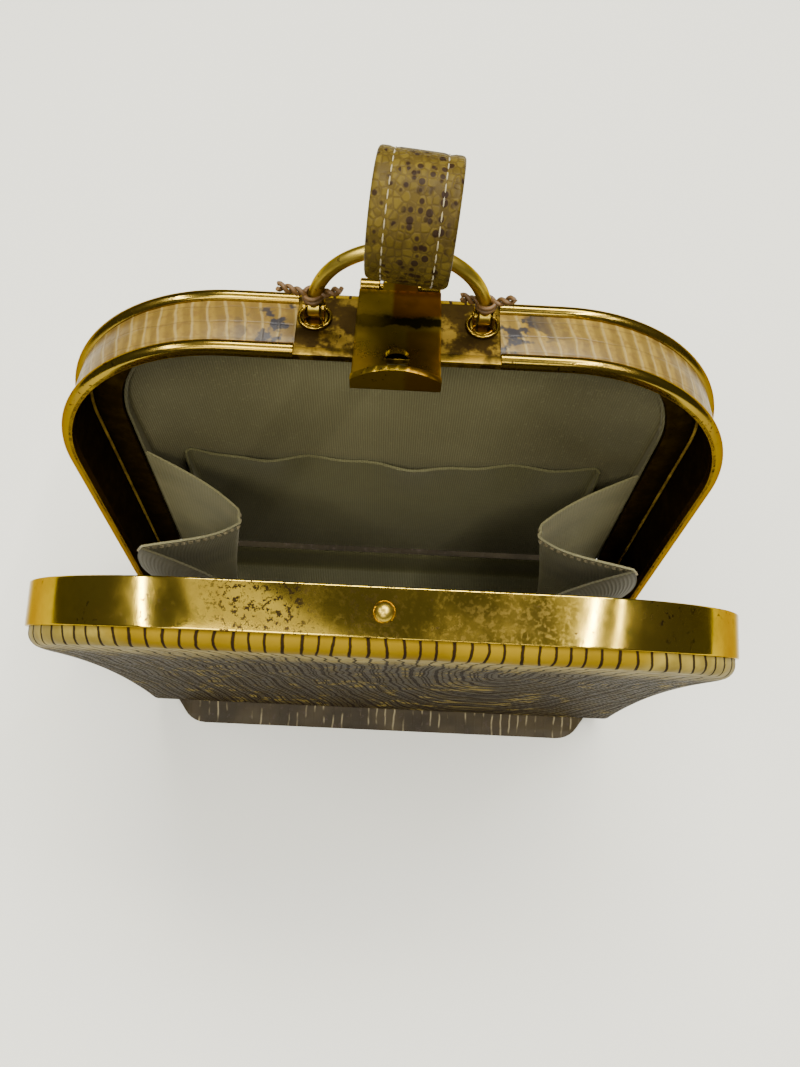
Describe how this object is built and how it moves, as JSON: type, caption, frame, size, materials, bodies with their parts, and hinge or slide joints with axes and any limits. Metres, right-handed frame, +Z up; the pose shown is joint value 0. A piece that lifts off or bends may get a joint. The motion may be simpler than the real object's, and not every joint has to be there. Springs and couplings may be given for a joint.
{
  "type": "frame handbag",
  "caption": "Small handbag on two hinged brass half frames, standing open: leather body, pleated cloth lining, snap latch over a ball stud, wire bail with a finger strap.",
  "frame": {"origin": "middle of the flat underside", "axes": "+Z up, X across the bag along the hinge axis, the front half leans to -Y and the rear half to +Y"},
  "size_m": [0.1628, 0.08, 0.1904],
  "materials": {
    "polished_brass": "polished, with small tarnish specks",
    "aged_brass": "tarnished and pitted",
    "body_leather": "scaled leather, cream with dark wavy lines",
    "inlay_leather": "scaled tan leather in narrow bands",
    "strap_leather": "scaled olive-tan leather with dark spots, stitched",
    "lining_cloth": "ribbed satin, grey-taupe",
    "board": "pressed board"
  },
  "bodies": {
    "base": {"base_leather": "body_leather", "base_board": "board", "floor_lining": "lining_cloth", "hinge_rivet_left": "aged_brass", "hinge_rivet_right": "aged_brass", "gusset_left": "lining_cloth", "gusset_right": "lining_cloth"},
    "front_frame": {"front_band": "polished_brass", "front_retainer": "aged_brass", "front_panel": "body_leather", "front_board": "board", "front_lining": "lining_cloth", "ball_stud": "polished_brass"},
    "rear_frame": {"rear_band": "aged_brass", "rear_retainer": "aged_brass", "rear_panel": "body_leather", "rear_board": "board", "rear_lining": "lining_cloth", "slip_pocket": "lining_cloth", "inlay_left": "inlay_leather", "inlay_right": "inlay_leather", "latch_hinge_plate": "aged_brass", "latch_pin": "aged_brass", "bail_fork_left": "aged_brass", "bail_fork_right": "aged_brass", "bail_pin_left": "aged_brass", "bail_pin_right": "aged_brass", "wire_ring_left": "aged_brass", "wire_ring_right": "aged_brass"},
    "latch": {"latch": "polished_brass"},
    "bail": {"bail": "polished_brass", "finger_strap": "strap_leather"}
  },
  "joints": [
    {"name": "rear_swing", "type": "hinge", "parent": "base", "child": "rear_frame", "pos_m": [0, 0, 0.014], "axis": [-1, 0, 0], "range_deg": [-9.9, 8], "deforming": ["gusset_left", "gusset_right"]},
    {"name": "front_swing", "type": "hinge", "parent": "base", "child": "front_frame", "pos_m": [0, 0, 0.014], "axis": [1, 0, 0], "range_deg": [-9.9, 8]},
    {"name": "latch_swing", "type": "hinge", "parent": "rear_frame", "child": "latch", "pos_m": [0, 0.04211, 0.14592], "axis": [-1, 0, 0], "range_deg": [-6, 20]},
    {"name": "bail_swing", "type": "hinge", "parent": "rear_frame", "child": "bail", "pos_m": [0, 0.03465, 0.14855], "axis": [-1, 0, 0], "range_deg": [-2, 85]}
  ],
  "couplings": [
    {"joint": "front_swing", "follows": "rear_swing", "ratio": 1}
  ]
}
